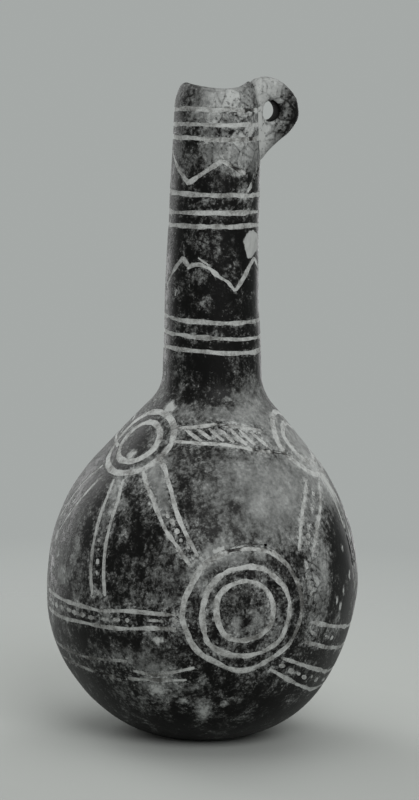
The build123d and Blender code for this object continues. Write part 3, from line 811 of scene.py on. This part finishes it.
wearLook = {
    "noChip": -0.6, "film": 0.42, "filmReach": 2 * mm,  # the film is lime rubbed in beside the lines
    "chipWaves": ((3, 1, 0.13), (5, 2, 0.08)),
}
print("wear places", sum(len(places) for places in wearAndLightPlaces.values()))

limed = [mark for marks in strokesOf.values() for mark in marks if not mark.get("shadeGroove")]
lineSpots = [handShape(onSkin(turn, z)[0]) for mark in limed for turn, z, along in mark["line"]]
lineTree = KDTree(len(lineSpots))
for i, spot in enumerate(lineSpots):
    lineTree.insert(spot, i)
lineTree.balance()


def finishShape(piece, sharpAngle):
    for vert in piece.data.vertices:
        vert.co = handShape(vert.co)
    for face in piece.data.polygons:
        face.use_smooth = True
    piece.data.set_sharp_from_angle(angle=radians(sharpAngle))
    piece.data.update()


def paintWearAndLight(piece, base, extra=0):
    count = len(piece.data.vertices)
    co = np.empty(count * 3)
    piece.data.vertices.foreach_get("co", co)
    co = co.reshape(-1, 3)
    turn = np.arctan2(co[:, 1], co[:, 0])
    r = np.hypot(co[:, 0], co[:, 1])

    def offsets(t, z):
        return ((turn - radians(t) + pi) % tau - pi) * r, co[:, 2] - z * mm

    def farness(t, z, across, up):
        aside, above = offsets(t, z)
        return (aside / (across * mm)) ** 2 + (above / (up * mm)) ** 2

    # wear, painted light and painted shade summed into one layer
    wearAndPaintedLight = np.full(count, float(base)) + np.array(extra)
    for *place, strength in sum(wearAndLightPlaces.values(), []):
        wearAndPaintedLight += strength * np.exp(-farness(*place))
    chip = np.full(count, wearLook["noChip"])
    for *place, crisp in sum(chips.values(), []):
        aside, above = offsets(*place[:2])
        bearing = np.arctan2(above, aside)
        uneven = 1 + sum(s * np.sin(n * bearing + by * place[0]) for n, by, s in wearLook["chipWaves"])
        chip = np.maximum(chip, (1 - np.sqrt(farness(*place)) * uneven) * crisp)
    crust = np.max([np.exp(-farness(*place)) for place in crustPlaces], axis=0)
    for name, values in (("wearAndPaintedLight", wearAndPaintedLight), ("chip", chip), ("crust", crust)):
        addLayer(piece, name, values.astype(np.float32))
    near = [lineTree.find(c)[2] / wearLook["filmReach"] for c in co]
    addLayer(piece, "film", [wearLook["film"] * exp(-d ** 2) for d in near])


class Graph:
    def __init__(self, owner):
        owner.use_nodes = True
        self.nodes, self.links = owner.node_tree.nodes, owner.node_tree.links

    # inputs by name, or by number as i0, i1 and so on
    def add(self, kind, settings=None, **inputs):
        node = self.nodes.new(kind)
        for key, value in (settings or {}).items():
            setattr(node, key, value)
        for key, value in inputs.items():
            self.feed(node.inputs[int(key[1:])] if key[0] == "i" and key[1:].isdigit() else node.inputs[key], value)
        return node

    def feed(self, socket, value):
        if isinstance(value, bpy.types.NodeSocket):
            self.links.new(value, socket)
        else:
            socket.default_value = value

    def sums(self, operation, a, b):
        return self.add("ShaderNodeMath", {"operation": operation}, i0=a, i1=b).outputs[0]


class Finish(Graph):
    def __init__(self, name):
        self.material = bpy.data.materials.new(name)
        super().__init__(self.material)
        self.shader = self.nodes["Principled BSDF"]
        self.place = self.add("ShaderNodeTexCoord").outputs["Object"]

    def layer(self, name):
        return self.add("ShaderNodeAttribute", {"attribute_name": name}).outputs["Fac"]

    def grain(self, scale, detail, rough, upScale=1, distortion=0):
        place = self.place
        if upScale != 1:
            place = self.add("ShaderNodeMapping", i0=place, i3=(1, 1, upScale)).outputs[0]
        sizes = {"Scale": scale, "Detail": detail, "Roughness": rough, "Distortion": distortion}
        return self.add("ShaderNodeTexNoise", Vector=place, **sizes).outputs["Fac"]

    def cells(self, feature, output, scale, place):
        return self.add("ShaderNodeTexVoronoi", {"feature": feature}, Vector=place, Scale=scale).outputs[output]

    def plus(self, tone, value, share):
        return self.add("ShaderNodeMath", {"operation": "MULTIPLY_ADD"}, i0=value, i1=share, i2=tone).outputs[0]

    # a noise's swing about one half, added to a tone
    def swing(self, tone, value, share):
        return self.plus(tone, self.sums("SUBTRACT", value, 0.5), share)

    def spread(self, value, low, high, toLow=0, toHigh=1):
        ends = {"i1": low, "i2": high, "i3": toLow, "i4": toHigh}
        return self.add("ShaderNodeMapRange", {"clamp": True}, i0=value, **ends).outputs[0]

    def ramp(self, value, stops):
        node = self.add("ShaderNodeValToRGB", i0=value)
        band = node.color_ramp
        while len(band.elements) < len(stops):
            band.elements.new(0.5)
        for element, (at, colour) in zip(band.elements, stops):
            element.position = at
            element.color = (*colour, 1)
        return node.outputs["Color"]

    def bumps(self, height, strength, distance):
        node = self.add("ShaderNodeBump", Height=height, Strength=strength, Distance=distance)
        self.feed(self.shader.inputs["Normal"], node.outputs["Normal"])

    def look(self, colour, roughness, specular=0.5):
        for socket, value in (("Base Color", colour), ("Roughness", roughness), ("Specular IOR Level", specular)):
            self.feed(self.shader.inputs[socket], value)


# a touch greener than plain grey, and warmer where asked
def grey(level, warm=0):
    return (level * (0.965 + warm), level, level * (0.97 - warm))


# grains as (scale, detail, roughness, scale up the pot, distortion)
# spreads as (from low, from high, to low, to high)
slipLook = {
    "grains": {  # each with its share in the mottle
        "cloud": ((48, 3, 0.55), 1.2), "patch": ((115, 2, 0.5, 1, 0.4), 0.9),
        "blotch": ((250, 4, 0.6, 0.62, 0.6), 1.4), "fine": ((620, 3, 0.7), 1.5), "streak": ((230, 4, 0.6, 0.2), 0.7),
    },
    "rippleScale": 160, "rippleDetail": 3, "ripple": 0.009, "shardScale": 230, "shard": 0.26,
    "calm": (0.45, 0.9, 1, 0.42), "crustCalm": 0.8, "film": (0.42, 0.6),
    "speckGrain": (1000, 2, 0.6), "speck": (0.58, 0.72, 0, 0.4), "speckLoss": (0.5, 0.85, 1, 0.15),
    "pitGrain": (560, 2, 0.6), "pits": (0.57, 0.68, 0, -0.6),
    "flakeScale": 140, "darkLines": (0.01, 0.09, 0.34, 0), "flakes": (0.2, 0.8, -0.2, 0.2),
    "chipFray": 0.6, "chipEdge": (-0.05, 0.3), "chipTone": 1.35, "chipMottle": 0.8,
    "fullTone": 1.4, "rough": (0.22, 0.55, 0.42, 0.8), "holeRough": (-0.6, 0.1, 1, 0), "specular": 0.12,
    "relief": (0.3, 0.5), "reliefGrain": 0.5, "bump": (0.35, 0.4 * mm), "warmth": 0.1, "warmBelow": 0.5,
    # tone and grey level
    "stops": [(0, 0.0022), (0.14, 0.0035), (0.22, 0.0065), (0.3, 0.018), (0.38, 0.042), (0.46, 0.078),
        (0.55, 0.118), (0.65, 0.165), (0.76, 0.23), (0.88, 0.31), (1, 0.38)],
}


def slipFinish():
    f, look = Finish("burnishedSlip"), slipLook
    wearAndPaintedLight, film, chip, crust = (f.layer(name) for name in ("wearAndPaintedLight", "film", "chip", "crust"))
    grains, mottle = {}, 0
    for name, (grain, share) in look["grains"].items():
        grains[name] = f.grain(*grain)
        mottle = f.swing(mottle, grains[name], share)
    blotch, fine = grains["blotch"], grains["fine"]
    # small patches with wandering edges, calmer where wear and painted light make the slip pale
    sizes = {"Scale": look["rippleScale"], "Detail": look["rippleDetail"]}
    ripple = f.add("ShaderNodeTexNoise", Vector=f.place, **sizes).outputs["Color"]
    reach = (look["ripple"],) * 3
    stray = f.add("ShaderNodeVectorMath", {"operation": "MULTIPLY_ADD"}, i0=ripple, i1=reach, i2=f.place).outputs[0]
    mottle = f.swing(mottle, f.cells("F1", "Color", look["shardScale"], stray), look["shard"])
    calm = f.sums("MAXIMUM", f.spread(wearAndPaintedLight, *look["calm"]), f.sums("MULTIPLY", crust, look["crustCalm"]))
    tone = f.plus(f.plus(wearAndPaintedLight, film, f.spread(fine, *look["film"])), mottle, calm)
    # pale specks on the dark slip, then pits and a crackle in the crust
    speck = f.spread(f.grain(*look["speckGrain"]), *look["speck"])
    tone = f.plus(tone, speck, f.spread(wearAndPaintedLight, *look["speckLoss"]))
    tone = f.plus(tone, f.spread(f.grain(*look["pitGrain"]), *look["pits"]), crust)
    darkLines = f.spread(f.cells("DISTANCE_TO_EDGE", "Distance", look["flakeScale"], f.place), *look["darkLines"])
    flakes = f.spread(f.cells("F1", "Color", look["flakeScale"], f.place), *look["flakes"])
    tone = f.plus(tone, f.sums("SUBTRACT", flakes, darkLines), crust)
    bare = f.spread(f.swing(chip, fine, look["chipFray"]), *look["chipEdge"])
    bareTone = f.swing(look["chipTone"], blotch, look["chipMottle"])
    tone = f.sums("MAXIMUM", tone, f.sums("MULTIPLY", bare, bareTone))
    # the slip's tone, with its wear and the painted light and shade
    worn = f.sums("DIVIDE", tone, look["fullTone"])
    stops = [(at, grey(level, look["warmth"] * max(0, look["warmBelow"] - at))) for at, level in look["stops"]]
    rough = f.sums("MAXIMUM", f.spread(worn, *look["rough"]), f.spread(wearAndPaintedLight, *look["holeRough"]))
    f.look(f.ramp(worn, stops), rough, look["specular"])
    f.bumps(f.plus(f.spread(worn, *look["relief"]), fine, look["reliefGrain"]), *look["bump"])
    return f.material


# stops as (tone, grey level, warmth)
limeLook = {
    "blotch": (170, 7, 0.65), "speck": (900, 3, 0.7), "speckShare": 0.5, "bareDark": -0.42,
    "fadeGrain": (52, 2, 0.5), "fade": (0.54, 0.7, 0, 0.14), "rough": 0.88, "bump": (0.5, 0.6 * mm),
    "stops": [(0.08, 0.012, 0.08), (0.28, 0.1, 0.03), (0.42, 0.24, 0.01), (0.56, 0.39, 0), (0.8, 0.48, 0)],
}


def limeFinish():
    f, look = Finish("limeInlay"), limeLook
    blotch, speck = f.grain(*look["blotch"]), f.grain(*look["speck"])
    fade = f.spread(f.grain(*look["fadeGrain"]), *look["fade"])
    tone = f.plus(f.swing(blotch, speck, look["speckShare"]), f.layer("bare"), look["bareDark"])
    stops = [(at, grey(*tint)) for at, *tint in look["stops"]]
    f.look(f.ramp(f.sums("SUBTRACT", tone, fade), stops), look["rough"])
    f.bumps(f.sums("ADD", blotch, speck), *look["bump"])
    return f.material


clayLook = {
    "blotch": (90, 6, 0.6), "grit": (800, 2, 0.6), "gritShare": 0.6, "rough": 0.9, "bump": (0.6, 1.2 * mm),
    "stops": [(0.25, 0.02, 0.12), (0.5, 0.06, 0.1), (0.75, 0.14, 0.08)],
}


def clayFinish():
    f, look = Finish("firedClay"), clayLook
    blotch, grit = f.grain(*look["blotch"]), f.grain(*look["grit"])
    stops = [(at, grey(*tint)) for at, *tint in look["stops"]]
    f.look(f.ramp(f.swing(blotch, grit, look["gritShare"]), stops), look["rough"])
    f.bumps(f.sums("ADD", blotch, grit), *look["bump"])
    return f.material


# materials, each with the angle over which edges stay sharp
finishes = {"slip": (slipFinish(), 38), "lime": (limeFinish(), 50), "clay": (clayFinish(), 40)}


def dress(piece, slotName, nodes):
    material, sharpAngle = finishes[slotName]
    finishShape(piece, sharpAngle)
    piece.data.materials.clear()
    piece.data.materials.append(material)
    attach(piece, "root")
    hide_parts(*nodes)


# slip pieces with how worn they are all over, and place by place the lug's tone with painted shade in its string hole
slipPieces = [(bodySkin, 0.37, 0, "slip_coat"), (neckSkin, 0.25, 0, "slip_coat"),
    (stringLug, 0.78, lugToneAndShade, "string_lug")]
clayPieces = [(clayBowl, "base_bowl"), (clayShoulder, "shoulder_dome"), (clayNeck, "neck_tube")]
for piece, base, extra, node in slipPieces:
    dress(piece, "slip", [node])
    paintWearAndLight(piece, base, extra)
for piece, node in clayPieces:
    dress(piece, "clay", [node])
for node, piece in limePieces.items():
    dress(piece, "lime", [node])
print("pieces dressed", len(slipPieces) + len(clayPieces) + len(limePieces))

# pale paper floor that fades into the same tone behind
paper = {
    "radius": 0.62, "segments": 96, "fadeFrom": 0.14, "fadeTo": 0.52, "rough": 0.95,
    "tone": (0.378, 0.398, 0.388), "floor": (0.35, 0.365, 0.35), "ambient": 0.42,
}
bm = bmesh.new()
bmesh.ops.create_circle(bm, cap_ends=True, segments=paper["segments"], radius=paper["radius"])
floor = newPiece("paperFloor", bm)
sheet = Finish("palePaper")
sheet.look((*paper["floor"], 1), paper["rough"], specular=0)
away = sheet.add("ShaderNodeVectorMath", {"operation": "LENGTH"}, i0=sheet.place).outputs["Value"]
clear = sheet.add("ShaderNodeBsdfTransparent").outputs[0]
fade = sheet.spread(away, paper["fadeFrom"], paper["fadeTo"])
faded = sheet.add("ShaderNodeMixShader", i0=fade, i1=sheet.shader.outputs[0], i2=clear)
sheet.feed(sheet.nodes["Material Output"].inputs["Surface"], faded.outputs[0])
floor.data.materials.append(sheet.material)

# soft lamps, all turned to the pot's middle
lampTarget = Vector((0, 0, 0.15))
lamps = {
    "left": {"at": (-0.62, 1.04, 0.42), "size": (0.6, 1.4), "power": 12},
    "right": {"at": (0.66, 1.04, 0.42), "size": (0.5, 1.4), "power": 6.5},
    "front": {"at": (0.35, -1.75, 1.3), "size": (1.3, 1.1), "power": 26},
    "above": {"at": (0, 0.1, 1.8), "size": (1.6, 1.6), "power": 12},
}
for name, lamp in lamps.items():
    light = bpy.data.lights.new(name + "Softbox", "AREA")
    light.shape = "RECTANGLE"
    light.size, light.size_y = lamp["size"]
    light.energy = lamp["power"]
    holder = addPiece(name + "Softbox", light)
    holder.location = lamp["at"]
    holder.rotation_euler = (lampTarget - Vector(lamp["at"])).to_track_quat("-Z", "Y").to_euler()
    holder.visible_camera = False

# the camera and clear or glossy surfaces see the paper's tone, everything else a white room
world = bpy.data.worlds.new("softRoom")
room = Graph(world)
ambient = room.nodes["Background"]
room.feed(ambient.inputs["Color"], (1, 1, 1, 1))
room.feed(ambient.inputs["Strength"], paper["ambient"])
backdrop = room.add("ShaderNodeBackground", Color=(*paper["tone"], 1)).outputs[0]
rays = room.add("ShaderNodeLightPath").outputs
seen = rays["Is Camera Ray"]
for kind in ("Is Glossy Ray", "Is Transmission Ray"):
    seen = room.sums("MAXIMUM", seen, rays[kind])
choose = room.add("ShaderNodeMixShader", i0=seen, i1=ambient.outputs[0], i2=backdrop)
room.feed(room.nodes["World Output"].inputs["Surface"], choose.outputs[0])
bpy.context.scene.world = world

view = {
    "target": (0, 0, 153.2 * mm), "distance": 1.6, "aside": 0.5 * mm, "up": 7.4, "turn": -10, "roll": 2.03,
    "lens": 158.24, "sensor": 36, "clipEnd": 50,
}
camera = bpy.data.cameras.new("photoView")
camera.lens, camera.sensor_width, camera.clip_end = view["lens"], view["sensor"], view["clipEnd"]
eye = addPiece("photoView", camera)
aim = Matrix.Translation(view["target"])
for turn, axis in ((view["turn"], "Z"), (90 - view["up"], "X"), (view["roll"], "Z")):
    aim = aim @ Matrix.Rotation(radians(turn), 4, axis)
eye.matrix_world = aim @ Matrix.Translation((view["aside"], 0, view["distance"]))
bpy.context.scene.camera = eye
bpy.context.scene.view_settings.view_transform = "Standard"
print("light and camera set")
